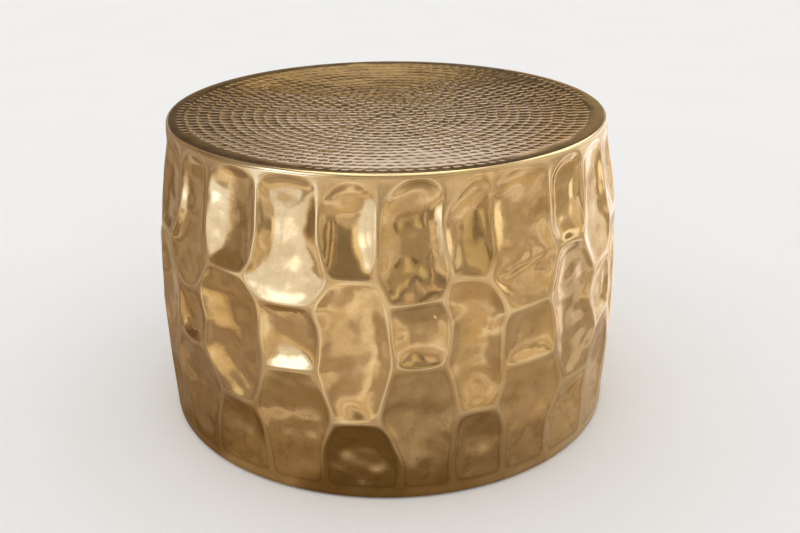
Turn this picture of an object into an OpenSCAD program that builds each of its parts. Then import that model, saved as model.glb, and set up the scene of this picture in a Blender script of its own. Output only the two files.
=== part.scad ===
// Round drum coffee table: a cast metal drum whose wall is a brick-like
// network of scooped facets, closed by a dished, hammered top with a rolled
// edge.  Rolled angle rings, a slotted cross brace and six feet sit inside.
// Millimetres, +Z up, origin on the floor under the middle of the drum, the
// front of the table towards -Y.

/* [Overall] */
// Height from the floor to the crest of the rolled edge
table_h = 445; // [425:1:465]
// Diameter of the top over its rolled edge
top_d = 631; // [611:1:651]
// Diameter of the drum over its ridges at the widest level
drum_d = 686.6; // [670:1:710]

/* [Drum wall] */
// Thickness of the cast wall
wall_t = 3.5; // [3:0.5:4]
// Depth of a facet below its ridges
facet_depth = 9; // [5:0.5:9.5]
// How far a ridge is pulled sideways where a fold meets it, in degrees
ridge_pull = 1.7; // [0:0.1:2.5]
// Clear gap between the wall's lower edge and the floor
wall_gap = 2.5; // [2:0.5:3]

/* [Top] */
// Thickness of the top sheet
plate_t = 2.5; // [2:0.5:3]
// How far the middle of the top lies below its edge
dish_depth = 13.5; // [8:0.5:15]
// Outside radius of the rolled edge
edge_r = 3.5; // [3:0.5:5]

/* [Rings] */
// Leg width of both rolled angle rings
leg_w = 25; // [20:1:28]
// Leg thickness of both rolled angle rings
leg_t = 3; // [2.5:0.5:4]

/* [Cross brace] */
// Thickness of the two brace bars
bar_t = 4; // [3:1:6]
// Depth of the brace bars at the middle
bar_h = 30; // [24:1:40]
// Height of the rubber left between a bar and the top
trim_t = 2.7; // [2:0.1:3.5]

/* [Feet] */
// Number of feet
feet = 6; // [4:1:8]
// Diameter of a foot
foot_d = 24; // [20:1:24]
// Height of a foot
foot_h = 3; // [3:0.5:4]

/* [Hidden] */

hs = table_h / 445;                     // height scale of the facet levels
top_r = top_d / 2;
drum_r = drum_d / 2;
shell_top = table_h - edge_r;           // wall meets the rolled edge here

// ---- facet network ------------------------------------------------------
// Ridges run up the wall at these angles from the front (-Y) towards +X.
// Columns between them alternate: odd ones have a tall middle facet, even
// ones a short middle facet between two tall ones.
cols = 26;
front_ridges = [-73, -59, -45.5, -30, -15, -1, 13, 24.5, 39.5, 52.5, 66.5, 80];
back_step = (360 - 73 - 80) / 15;
function ridge_base(b) =
    let (i = (b + 5 + cols * 10) % cols, turn = floor((b + 5) / cols))
    360 * turn + (i < 12 ? front_ridges[i]
                         : 80 + back_step * (i - 11) + 0.9 * sin(137 * i));

// Upper and lower fold of the columns seen from the front, columns -5 to 5
front_folds = [[312, 123], [258, 179], [303, 123], [275, 188], [315, 121],
               [286, 198], [312, 125], [260, 181], [325, 127], [275, 192],
               [312, 123]];
function odd(c) = (abs(c) % 2) == 1;
function fold(c, n) =
    let (i = (c + 5 + cols * 10) % cols)
    hs * (i < 11 ? front_folds[i][n]
        : odd(i - 5) ? (n == 0 ? 312 + 6 * sin(71 * i) : 124 + 5 * sin(113 * i))
                     : (n == 0 ? 272 + 8 * sin(97 * i) : 187 + 6 * sin(151 * i)));

function bump(x, w) = exp(-pow(x / (w * hs), 2));
function ridge(b, z) =
    let (s = odd(b) ? 1 : -1)
    ridge_base(b) + s * ridge_pull * (bump(z - 312 * hs, 20)
        - 0.75 * bump(z - 270 * hs, 20) - 0.6 * bump(z - 188 * hs, 20)
        + 1.1 * bump(z - 123 * hs, 22));

// Radius of the ridges, as a share of the step from top radius to belly
belly = [[0, 0.753], [0.05, 0.81], [0.1, 0.86], [0.2, 0.93], [0.3, 0.985],
         [0.4, 1], [0.5, 0.94], [0.6, 0.85], [0.7, 0.735], [0.8, 0.51],
         [0.85, 0.36], [0.9, 0.197], [0.94, 0.09], [0.965, 0.04],
         [0.982, 0.012], [1, 0]];
function env(z) = top_r + (drum_r - top_r) * lookup(z / table_h, belly);

ring_ro = top_r - 5.7;                  // outside of the top ring
base_ro = drum_r - wall_t - 11;         // outside of the base ring
// Greatest depth of a facet that leaves the wall clear of both rings
function room(z) = min(env(z) - wall_t - ring_ro - 0.15,
    env(z) - wall_t - base_ro - 0.15 + 0.1 * max(0, z - 40 * hs));

facet_top = shell_top - 4;              // facets end here under the edge
facet_bot = 9 * hs;                     // and here above the floor
pw = 2.5;                               // corner rounding exponent
function softmin(d) = pow(max(1e-9, pow(max(d[0], 1e-3), -pw)
    + pow(max(d[1], 1e-3), -pw) + pow(max(d[2], 1e-3), -pw)
    + pow(max(d[3], 1e-3), -pw)), -1 / pw);

// Depth of the facet of column c at share u of its width and height z
function dent(c, u, z) =
    let (up = fold(c, 0), lo = fold(c, 1),
         z0 = z > up ? up : z > lo ? lo : facet_bot,
         z1 = z > up ? facet_top : z > lo ? up : lo,
         w = (ridge(c + 1, z) - ridge(c, z)) * PI / 180 * env(z),
         q = softmin([u * w, (1 - u) * w, z - z0, z1 - z]))
    z <= facet_bot || z >= facet_top ? 0
        : min(room(z), facet_depth * (1 - pow(1 - min(q / 31, 1), 2)));

// Rows of the wall's mesh; they bend with the folds of each column
anchors = [123, 188, 272, 312];
function near(c, n) = (fold(c - 1, n) + fold(c + 1, n)) / 2;
function level(c, k) =                   // height of anchor k in column c
    k == 0 ? (odd(c) ? fold(c, 1) : near(c, 1))
  : k == 1 ? (odd(c) ? near(c, 1) : fold(c, 1))
  : k == 2 ? (odd(c) ? near(c, 0) : fold(c, 0))
           : (odd(c) ? fold(c, 0) : near(c, 0));
function lev(c, j, k) = j == 0 ? (level(c - 1, k) + level(c, k)) / 2
                               : level(c, k);
function row_z(c, j, t) = lookup(t, concat([[0, wall_gap]],
    [for (k = [0:3]) [anchors[k], lev(c, j, k)]], [[437, shell_top]]));

out_rows = [0, 9, 20, 36, 60, 85, 103, 115, 123, 131, 143, 158, 172, 181, 188,
            196, 208, 222, 238, 252, 264, 272, 280, 292, 304, 312, 321, 336,
            360, 385, 405, 420, 430, 437];
in_rows = [0, 20, 60, 103, 123, 155, 188, 230, 272, 312, 360, 405, 425, 437];
per = 5;                                // samples across a column
na = cols * per;
function wall_pt(i, t, inset) =
    let (c = floor(i / per) - 5, j = i % per, z = row_z(c, j, t), u = j / per,
         a = ridge(c, z) + (ridge(c + 1, z) - ridge(c, z)) * u,
         r = env(z) - dent(c, u, z) - inset)
    [r * sin(a), -r * cos(a), z];
no = len(out_rows);
ni = len(in_rows);
wall_pts = concat(
    [for (t = out_rows) for (i = [0:na - 1]) wall_pt(i, t, 0)],
    [for (t = in_rows) for (i = [0:na - 1]) wall_pt(i, t, wall_t)]);
function band(a, b) = [for (i = [0:na - 1]) let (n = (i + 1) % na)
    each [[a + i, b + n, a + n], [a + i, b + i, b + n]]];
inner0 = no * na;
wall_faces = concat(
    [for (k = [0:no - 2]) each band(k * na, (k + 1) * na)],
    band((no - 1) * na, inner0 + (ni - 1) * na),
    [for (k = [ni - 2:-1:0]) each band(inner0 + (k + 1) * na, inner0 + k * na)],
    band(inner0, 0));

// ---- levels and radii of the inner frame --------------------------------
crest_r = top_r - edge_r;               // crest of the rolled edge
field_r = crest_r - 8;                  // edge of the hammered dish
edge_dip = 0.4;
function dish(r) = table_h - edge_dip - dish_depth * (1 - pow(r / field_r, 2));
ring_z = dish(field_r - 22.5) - plate_t - 0.05;   // top face of the top ring
ring_hole_r = 3.4;
stud_pcr = field_r - 8;                 // circle of the welded studs
stud_r = 3;
tab_t = 4;
tab_z = ring_z - leg_t - tab_t;         // underside of the brace tabs
stud_end = tab_z - 8.5;
function around(n, off) = [for (k = [0:n - 1]) off + 360 * k / n];
tab_studs = concat(around(4, 3.8), around(4, -3.8));
ring_studs = around(4, 45);
all_studs = concat(tab_studs, ring_studs);

foot_pcr = base_ro - leg_w / 2 - 0.6;
foot_at = around(feet, 30);

module at(angles, r) {
    for (a = angles) rotate([0, 0, a]) translate([r, 0, 0]) children();
}
function mid_deg(c) = (ridge_base(c) + ridge_base(c + 1)) / 2 - 90;

// ---- sub-parts ----------------------------------------------------------
module drum_wall() {
    color([0.72, 0.52, 0.26])
        polyhedron(points = wall_pts, faces = wall_faces, convexity = 8);
}

// Dished sheet with its edge rolled over and turned down onto the wall
module top_plate() {
    over = [for (k = [0:14]) let (r = field_r * k / 14) [r, dish(r)]];
    under = [for (k = [14:-1:0]) let (r = field_r * k / 14)
             [r, dish(r) - plate_t]];
    roll = [for (k = [0:8]) let (a = 90 - 90 * k / 8)
            [crest_r + edge_r * cos(a), shell_top + edge_r * sin(a)]];
    back = [for (k = [8:-1:0]) let (a = 90 - 90 * k / 8, r = edge_r - plate_t)
            [crest_r + r * cos(a), shell_top + r * sin(a)]];
    color([0.62, 0.5, 0.3])
        rotate_extrude($fn = 180)
            polygon(concat(over, roll, back, under));
}

module angle_ring(ro, z0, z1, z2, z3) {
    rotate_extrude($fn = 180) union() {
        translate([ro - leg_w, z0]) square([leg_w, z1 - z0]);
        translate([ro - leg_t, min(z0, z2)])
            square([leg_t, max(z1, z3) - min(z0, z2)]);
    }
}

module top_ring() {
    color([0.55, 0.55, 0.56]) difference() {
        angle_ring(ring_ro, ring_z - leg_t, ring_z, ring_z - leg_w, ring_z);
        at(all_studs, stud_pcr) translate([0, 0, ring_z - leg_t - 1])
            cylinder(r = ring_hole_r, h = leg_t + 2, $fn = 32);
    }
}

module base_ring() {
    color([0.55, 0.55, 0.56]) difference() {
        angle_ring(base_ro, foot_h, foot_h + leg_t, foot_h, foot_h + leg_w);
        at(foot_at, foot_pcr) translate([0, 0, foot_h - 1])
            cylinder(r = 2.3, h = leg_t + 2, $fn = 32);
    }
}

// A tack weld that fills the corner between a ring's leg and the wall
module tack(c, ri, z, dz) {
    w = ri + 2.4;
    rotate([0, 0, mid_deg(c) - 2]) rotate_extrude(angle = 4, $fn = 180)
        polygon([[ri, z], [w, z], [w, z + dz]]);
}

module top_ring_welds() {
    color([0.42, 0.42, 0.43])
        for (k = [0:12]) tack(2 * k - 5, ring_ro - 2.4, ring_z - leg_w, -4);
}

module base_ring_welds() {
    color([0.42, 0.42, 0.43])
        for (k = [0:12]) tack(2 * k - 5, base_ro - 2.4, foot_h + leg_w, 4);
}

// Outline of a brace bar from the side: the upper edge follows the dish
bar_end = ring_ro - leg_t - 2;
bar_rise = field_r - 46;
bar_z0 = dish(0) - plate_t - trim_t - 0.3 - bar_h;
function bar_top(x) = dish(abs(x)) - plate_t - trim_t - 0.3;
module bar_face() {
    polygon(concat(
        [[-bar_end + 22, bar_z0], [-bar_end, bar_z0 + 20], [-bar_end, tab_z],
         [-bar_rise, tab_z]],
        [for (k = [-9:9]) let (x = k / 9 * bar_rise) [x, bar_top(x)]],
        [[bar_rise, tab_z], [bar_end, tab_z], [bar_end, bar_z0 + 20],
         [bar_end - 22, bar_z0]]));
}
module bar() {
    rotate([90, 0, 0]) translate([0, 0, -bar_t / 2])
        linear_extrude(height = bar_t) bar_face();
}

module brace_x() {
    color([0.3, 0.31, 0.32]) difference() {
        bar();
        translate([-bar_t / 2 - 0.15, -bar_t, bar_z0 + bar_h / 2])
            cube([bar_t + 0.3, 2 * bar_t, bar_h]);
    }
}

module brace_y() {
    color([0.3, 0.31, 0.32]) rotate([0, 0, 90]) difference() {
        bar();
        translate([-bar_t / 2 - 0.15, -bar_t, bar_z0 - bar_h / 2 + 0.2])
            cube([bar_t + 0.3, 2 * bar_t, bar_h]);
    }
}

module brace_tabs() {
    color([0.3, 0.31, 0.32]) for (a = [0:90:270]) rotate([0, 0, a])
        difference() {
            translate([bar_rise + 4, -30, tab_z])
                cube([bar_end - bar_rise - 6, 60, tab_t]);
            at([3.8, -3.8], stud_pcr) translate([0, 0, tab_z - 1])
                cylinder(r = ring_hole_r, h = tab_t + 2, $fn = 32);
        }
}

// Rubber channel pushed over the upper edge of each half of a bar
module trim_half() {
    x1 = bar_rise - 12;
    lo = [for (k = [0:8]) let (x = 14 + (x1 - 14) * k / 8) [x, bar_top(x) - 9]];
    hi = [for (k = [8:-1:0]) let (x = 14 + (x1 - 14) * k / 8)
          [x, bar_top(x) + trim_t]];
    difference() {
        rotate([90, 0, 0]) translate([0, 0, -bar_t / 2 - 3])
            linear_extrude(height = bar_t + 6) polygon(concat(lo, hi));
        bar();
    }
}
module brace_trims() {
    color([0.08, 0.08, 0.08]) for (a = [0:90:270]) rotate([0, 0, a])
        trim_half();
}

stud_top = dish(stud_pcr - stud_r) - plate_t - 0.02;
module plate_studs() {
    color([0.75, 0.75, 0.76]) at(all_studs, stud_pcr)
        translate([0, 0, stud_end])
            cylinder(r = stud_r, h = stud_top - stud_end, $fn = 32);
}

module washer(ri, ro, h) {
    difference() {
        cylinder(r = ro, h = h, $fn = 32);
        translate([0, 0, -1]) cylinder(r = ri, h = h + 2, $fn = 32);
    }
}

module nut(r, af, h) {
    difference() {
        cylinder(d = af / cos(30), h = h, $fn = 6);
        translate([0, 0, -1]) cylinder(r = r, h = h + 2, $fn = 32);
    }
}

module plate_washers() {
    color([0.8, 0.8, 0.81]) {
        at(tab_studs, stud_pcr) translate([0, 0, tab_z - 1.2])
            washer(stud_r + 0.2, 6, 1.2);
        at(ring_studs, stud_pcr) translate([0, 0, ring_z - leg_t - 1.2])
            washer(stud_r + 0.2, 6, 1.2);
    }
}

module plate_nuts() {
    color([0.7, 0.7, 0.71]) {
        at(tab_studs, stud_pcr) translate([0, 0, tab_z - 6.2])
            nut(stud_r + 0.05, 10, 5);
        at(ring_studs, stud_pcr) translate([0, 0, ring_z - leg_t - 6.2])
            nut(stud_r + 0.05, 10, 5);
    }
}

module foot_pads() {
    color([0.07, 0.07, 0.07]) at(foot_at, foot_pcr)
        rotate_extrude($fn = 48) polygon([
            [4.6, 0], [foot_d / 2 - 0.8, 0], [foot_d / 2, 0.8],
            [foot_d / 2, foot_h], [2.3, foot_h], [2.3, 1.8], [4.6, 1.8]]);
}

module foot_screws() {
    color([0.75, 0.75, 0.76]) at(foot_at, foot_pcr) union() {
        translate([0, 0, 0.6]) cylinder(r = 4, h = 1.2, $fn = 32);
        translate([0, 0, 1.2]) cylinder(r = 2, h = foot_h + leg_t + 4.8,
                                        $fn = 32);
    }
}

module foot_washers() {
    color([0.8, 0.8, 0.81]) at(foot_at, foot_pcr)
        translate([0, 0, foot_h + leg_t]) washer(2.2, 4.5, 0.8);
}

module foot_nuts() {
    color([0.7, 0.7, 0.71]) at(foot_at, foot_pcr)
        translate([0, 0, foot_h + leg_t + 0.8]) nut(2.05, 7, 3.2);
}

drum_wall();
top_plate();
top_ring();
top_ring_welds();
base_ring();
base_ring_welds();
brace_x();
brace_y();
brace_tabs();
brace_trims();
plate_studs();
plate_washers();
plate_nuts();
foot_pads();
foot_screws();
foot_washers();
foot_nuts();
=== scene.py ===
"""Looks of the round drum coffee table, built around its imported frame.

Metres, +Z up, front of the table towards -Y.  The wall and the top are
modelled here as fine meshes; the frame's hidden parts keep their CAD shape.
"""
import math

import bpy
import numpy as np
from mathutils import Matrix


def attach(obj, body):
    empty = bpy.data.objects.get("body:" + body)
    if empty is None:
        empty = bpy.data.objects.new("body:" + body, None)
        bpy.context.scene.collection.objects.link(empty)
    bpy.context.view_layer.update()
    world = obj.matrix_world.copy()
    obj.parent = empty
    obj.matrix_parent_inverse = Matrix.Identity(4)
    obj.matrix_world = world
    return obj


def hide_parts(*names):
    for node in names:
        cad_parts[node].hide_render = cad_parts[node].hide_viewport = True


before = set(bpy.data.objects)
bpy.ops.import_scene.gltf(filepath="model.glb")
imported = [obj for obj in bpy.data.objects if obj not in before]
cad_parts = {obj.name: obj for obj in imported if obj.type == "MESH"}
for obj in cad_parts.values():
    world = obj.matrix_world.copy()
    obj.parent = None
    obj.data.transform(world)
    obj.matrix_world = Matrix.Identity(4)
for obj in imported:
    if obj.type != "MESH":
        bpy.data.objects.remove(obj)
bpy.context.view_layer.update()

MM = 0.001
H = 445.0            # crest of the rolled edge
TOP_R = 315.5        # radius over the rolled edge
EDGE_R = 5.0         # radius of the rolled edge
SHELL_TOP = H - EDGE_R
WALL_BOT = 2.5       # the feet hold the wall this far off the floor
WALL_T = 3.5
COLS = 26


# --------------------------------------------------------------------------
# small numeric helpers
# --------------------------------------------------------------------------
def smooth(x, a, b):
    t = np.clip((x - a) / (b - a), 0.0, 1.0)
    return t * t * (3 - 2 * t)


def curve(x, xs, ys):
    """Smooth interpolation through given points, xs ascending."""
    xs = np.asarray(xs, float)
    ys = np.asarray(ys, float)
    h = np.diff(xs)
    d = np.diff(ys) / h
    m = np.empty_like(ys)
    m[0], m[-1] = d[0], d[-1]
    m[1:-1] = (d[:-1] * h[1:] + d[1:] * h[:-1]) / (h[1:] + h[:-1])
    x = np.clip(x, xs[0], xs[-1])
    i = np.clip(np.searchsorted(xs, x, side="right") - 1, 0, len(xs) - 2)
    t = (x - xs[i]) / h[i]
    return ((2 * t**3 - 3 * t**2 + 1) * ys[i] + (t**3 - 2 * t**2 + t) * h[i] * m[i]
            + (-2 * t**3 + 3 * t**2) * ys[i + 1] + (t**3 - t**2) * h[i] * m[i + 1])


def quad(u, a, b, c):
    """Parabola with values a, b, c at u = 0, 1/2, 1."""
    return (a * (1 - u) * (1 - 2 * u) + 4 * b * u * (1 - u) + c * u * (2 * u - 1))


def spaced(a, b, first, widest, grow=1.28):
    """Points from a to b (b left out), close together at both ends."""
    half = [0.0]
    step = first
    while half[-1] + step < (b - a) / 2:
        half.append(half[-1] + step)
        step = min(step * grow, widest)
    left = [a + x for x in half]
    right = [b - x for x in half[1:]][::-1]
    gap = right[0] - left[-1] if right else b - left[-1]
    mid = []
    if gap > 1.25 * widest:
        n = int(math.ceil(gap / widest))
        mid = [left[-1] + gap * k / n for k in range(1, n)]
    elif right and gap < 0.5 * min(step, widest):
        right = right[1:]
    return left + mid + right


# --------------------------------------------------------------------------
# facet network of the wall
# --------------------------------------------------------------------------
BELLY_Z = np.array([0, 22, 44, 89, 133, 178, 222, 267, 311, 356, 378, 400, 418, 429, 437, 445.0])
BELLY_R = np.array([336.4, 338.0, 339.4, 341.3, 342.8, 343.1, 341.5, 339.2, 335.8, 329.6, 325.4,
                    321.0, 318.0, 316.6, 315.9, 315.5])


def belly(z):
    return curve(z, BELLY_Z, BELLY_R)


# Ridges between the columns seen from the front: (height, angle from the
# front towards +X), top to bottom.
RIDGES = {
    -4: [(440, -59), (395, -58), (355, -57.5), (325, -60), (308, -62), (285, -60), (262, -58),
         (222, -57.5), (182, -58), (160, -60), (128, -62.3), (98, -60), (70, -58), (30, -57.5), (0, -57.5)],
    -3: [(440, -45.5), (395, -45.5), (340, -45), (304, -44.3), (285, -45.7), (266, -47.2), (222, -45.6),
         (180, -46), (155, -43.5), (126, -41.2), (105, -42), (85, -43), (40, -44.5), (0, -44.5)],
    -2: [(440, -30.5), (400, -30.3), (355, -30.2), (325, -31.3), (302, -33), (288, -31.5), (276, -30),
         (225, -29), (184, -28.5), (155, -29.6), (121, -31), (90, -29.5), (50, -28.6), (0, -28.5)],
    -1: [(440, -15), (400, -15.2), (360, -14.9), (330, -13.6), (314, -12.8), (298, -14), (278, -16),
         (245, -14.8), (210, -15), (190, -15.4), (170, -14.5), (150, -13.6), (128, -12.8), (116, -12.8),
         (98, -13.8), (75, -14.8), (40, -15), (0, -15)],
    0: [(440, -1.3), (410, -2.0), (350, -2.3), (320, -2.4), (300, -1.2), (282, -0.5), (240, 0.1),
        (199, 0.5), (172, -0.6), (145, -1.8), (122, -2.2), (102, -0.5), (80, 0.8), (55, 2.1), (30, 2),
        (0, 1.6)],
    1: [(440, 13), (415, 12.6), (388, 11.8), (350, 12.2), (318, 12.9), (296, 12), (284, 11.8),
        (262, 12.9), (225, 12.9), (200, 12.2), (178, 13.2), (150, 14.2), (125, 14.6), (105, 14.2),
        (80, 14.1), (50, 13.6), (25, 14), (0, 15)],
    2: [(440, 23), (380, 22.9), (330, 23.0), (307, 21.9), (288, 24), (258, 26), (240, 25.2),
        (210, 25), (183, 25), (165, 25.4), (145, 24.6), (128, 23.9), (110, 25.1), (85, 26), (50, 26),
        (25, 26.5), (0, 28)],
    3: [(440, 40.5), (410, 39.3), (380, 39), (350, 38.7), (323, 40.4), (300, 39.5), (280, 38.8),
        (262, 38), (240, 39), (215, 39.7), (180, 40), (155, 41), (128, 42.2), (105, 41), (78, 39),
        (50, 38.7), (20, 39.5), (0, 40)],
    4: [(440, 52.5), (400, 52.2), (370, 51.8), (342, 51), (322, 50.3), (300, 52), (285, 53.6),
        (268, 55.2), (250, 54), (232, 53), (205, 55), (178, 56.6), (155, 55), (128, 53.6), (100, 53.5),
        (60, 53.5), (0, 54)],
    5: [(440, 66.5), (400, 65), (370, 65), (345, 65.5), (320, 67.4), (298, 66.8), (275, 65.8),
        (235, 66.3), (192, 66), (160, 67), (124, 68), (90, 66.5), (0, 66.5)],
}
# Folds of the columns seen from the front: heights at the left ridge, the
# middle and the right ridge, upper fold then lower fold.
FOLDS = {
    -5: [(310, 312, 308), (124, 122, 128)],
    -4: [(262, 255, 266), (182, 178, 180)],
    -3: [(304, 303, 302), (126, 123, 121)],
    -2: [(276, 275, 279), (184, 188, 190)],
    -1: [(314, 315, 313), (118, 120, 121)],
    0: [(282, 285, 290), (199, 197, 200)],
    1: [(315, 312, 307), (125, 127, 127)],
    2: [(258, 259, 262), (183, 181, 180)],
    3: [(323, 326, 322), (128, 127, 128)],
    4: [(268, 274, 275), (178, 188, 192)],
    5: [(320, 314, 312), (124, 122, 126)],
}
# Where the top facets end under the edge, left, middle, right, and the
# depths of the top, middle and bottom facet (mm).
CROWN = {
    -5: (426, 438, 428), -4: (424, 437, 428), -3: (426, 439, 430), -2: (431, 440, 433),
    -1: (410, 436, 418), 0: (412, 440, 424), 1: (394, 431, 435), 2: (434, 440, 432),
    3: (420, 438, 430), 4: (426, 439, 428), 5: (426, 437, 426),
}
DEPTH = {
    -5: (10.5, 10.0, 9.0), -4: (10.5, 10.5, 9.0), -3: (11.0, 10.5, 9.0), -2: (12.0, 10.5, 9.5),
    -1: (11.5, 10.5, 9.8), 0: (11.5, 8.5, 9.5), 1: (8.8, 9.8, 9.8), 2: (8.2, 9.0, 9.0),
    3: (10.4, 9.6, 8.6), 4: (9.4, 9.0, 8.6), 5: (9.4, 9.2, 8.6),
}
# where each of those facets is deepest, sideways then upwards (-1 to 1)
LEAN = {
    -5: ((0.0, 0.0), (0.1, 0.0), (0.0, 0.0)), -4: ((0.1, 0.1), (0.1, -0.1), (0.0, 0.0)),
    -3: ((0.22, 0.0), (0.06, 0.12), (0.1, 0.0)), -2: ((-0.10, 0.18), (0.0, 0.1), (0.1, 0.0)),
    -1: ((-0.12, 0.10), (0.10, -0.1), (0.0, 0.0)), 0: ((0.16, 0.10), (0.05, 0.1), (-0.1, 0.0)),
    1: ((-0.05, 0.0), (-0.1, 0.1), (0.0, 0.0)), 2: ((0.05, 0.1), (0.1, -0.1), (0.1, 0.0)),
    3: ((0.12, 0.0), (0.05, 0.1), (0.0, 0.0)), 4: ((0.0, 0.0), (0.0, 0.0), (0.0, 0.0)),
    5: ((0.0, 0.0), (0.0, 0.0), (0.0, 0.0)),
}


def wrap(c):
    return (c + 5) % COLS - 5          # columns and ridges run from -5 to 20


rng = np.random.default_rng(41)
_base = {b: a for b, a in zip(range(-5, 7), (-73, -59, -45.5, -30, -15, -1, 13, 24.5, 39.5, 52.5, 66.5, 80))}
for _i in range(1, 15):
    _base[6 + _i] = 80 + 207 / 15 * _i + float(rng.uniform(-1.0, 1.0))
_ridge_pts = {}
for _b in range(-5, 21):
    if _b in RIDGES:
        _p = RIDGES[_b][::-1]
    else:
        _s = 1 if _b % 2 else -1
        _jit = rng.uniform(-0.5, 0.5, 13)
        _j1, _j2 = 312 + rng.uniform(-5, 5), 272 + rng.uniform(-6, 6)
        _j3, _j4 = 187 + rng.uniform(-5, 5), 123 + rng.uniform(-5, 5)
        _z = [0, 40, 78, _j4, 152, _j3, 228, _j2, (_j1 + _j2) / 2, _j1, 345, 395, 440]
        _f = [0, 0, 0.2, 1.15, 0.3, -0.65, -0.1, -0.8, 0.1, 1.0, 0.15, 0, 0]
        _p = [(z, _base[_b] + _s * 1.8 * f + (j if 0 < k < 12 else 0.3 * j))
              for k, (z, f, j) in enumerate(zip(_z, _f, _jit))]
    _ridge_pts[_b] = (np.array([z for z, a in _p], float), np.array([a for z, a in _p], float))
for _c in range(6, 21):
    _o = _c % 2
    _u = (312 if _o else 272) + rng.uniform(-7, 7)
    _l = (123 if _o else 187) + rng.uniform(-6, 6)
    FOLDS[_c] = [tuple(_u + rng.uniform(-3, 3, 3)), tuple(_l + rng.uniform(-3, 3, 3))]
    CROWN[_c] = tuple(np.array([424, 438, 424]) + rng.uniform(-6, 2, 3))
    DEPTH[_c] = tuple(rng.uniform(8.8, 11.2, 3))
    LEAN[_c] = rng.uniform(-0.16, 0.16, (3, 2))
LEAN = {c: np.array(v, float) for c, v in LEAN.items()}
WAVY = {c: rng.uniform(0.6, 1.3, 3) for c in range(-5, 21)}


def ridge(b, z):
    """Angle of ridge b at height z, in degrees from the front."""
    w = wrap(b)
    zs, a = _ridge_pts[w]
    return curve(z, zs, a) + 360.0 * ((b - w) // COLS)


def fold(c, n, u):
    return quad(u, *FOLDS[wrap(c)][n])


def level(c, k, u):
    """Height at which the mesh's k-th anchor row crosses column c."""
    odd = c % 2 == 1
    if k in (0, 3):                     # folds that the odd columns own
        n = 1 if k == 0 else 0
        if odd:
            return fold(c, n, u)
    else:                               # folds that the even columns own
        n = 1 if k == 1 else 0
        if not odd:
            return fold(c, n, u)
    left, right = FOLDS[wrap(c - 1)][n][2], FOLDS[wrap(c + 1)][n][0]
    return left + (right - left) * (u * u * (3 - 2 * u))


def _wave_bank(n, lo, hi, rms):
    """Angular count, vertical rate, phase and size of n waves round the drum."""
    lam = rng.uniform(lo, hi, n)
    turn = rng.uniform(0, np.pi, n)
    m = np.round(335.0 * 2 * np.pi / lam * np.cos(turn))
    kz = 2 * np.pi / lam * np.sin(turn)
    return m, kz, rng.uniform(0, 2 * np.pi, n), rms * math.sqrt(2 / n) * (lam / lam.mean())


LONG_WAVES = _wave_bank(14, 60, 130, 0.46)
SHORT_WAVES = _wave_bank(34, 22, 52, 0.26)


def waves(bank, a_deg, z):
    """Uneven surface left by hand finishing."""
    out = np.zeros(np.broadcast(a_deg, z).shape)
    a = np.radians(a_deg)
    for m, kz, ph, amp in zip(*bank):
        out += amp * np.cos(m * a + kz * z + ph)
    return out


P_CORNER = 2.0
# how flat the middle of a column's facets is across (2 is a plain parabola)
FLAT = {-5: 2.2, -4: 2.2, -3: 2.0, -2: 2.4, -1: 2.1, 0: 2.2, 1: 2.2, 2: 2.4, 3: 2.9, 4: 3.0, 5: 2.8}


def room(z):
    """Greatest depth that leaves the wall clear of the rings inside it."""
    hi = 14.0 + (belly(z) - 311.3 - 14.0) * smooth(z, 372, 412)
    lo = 14.0 + (belly(z) - 330.3 - 14.0) * smooth(z, 62, 30)
    return np.minimum(hi, lo)


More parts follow.
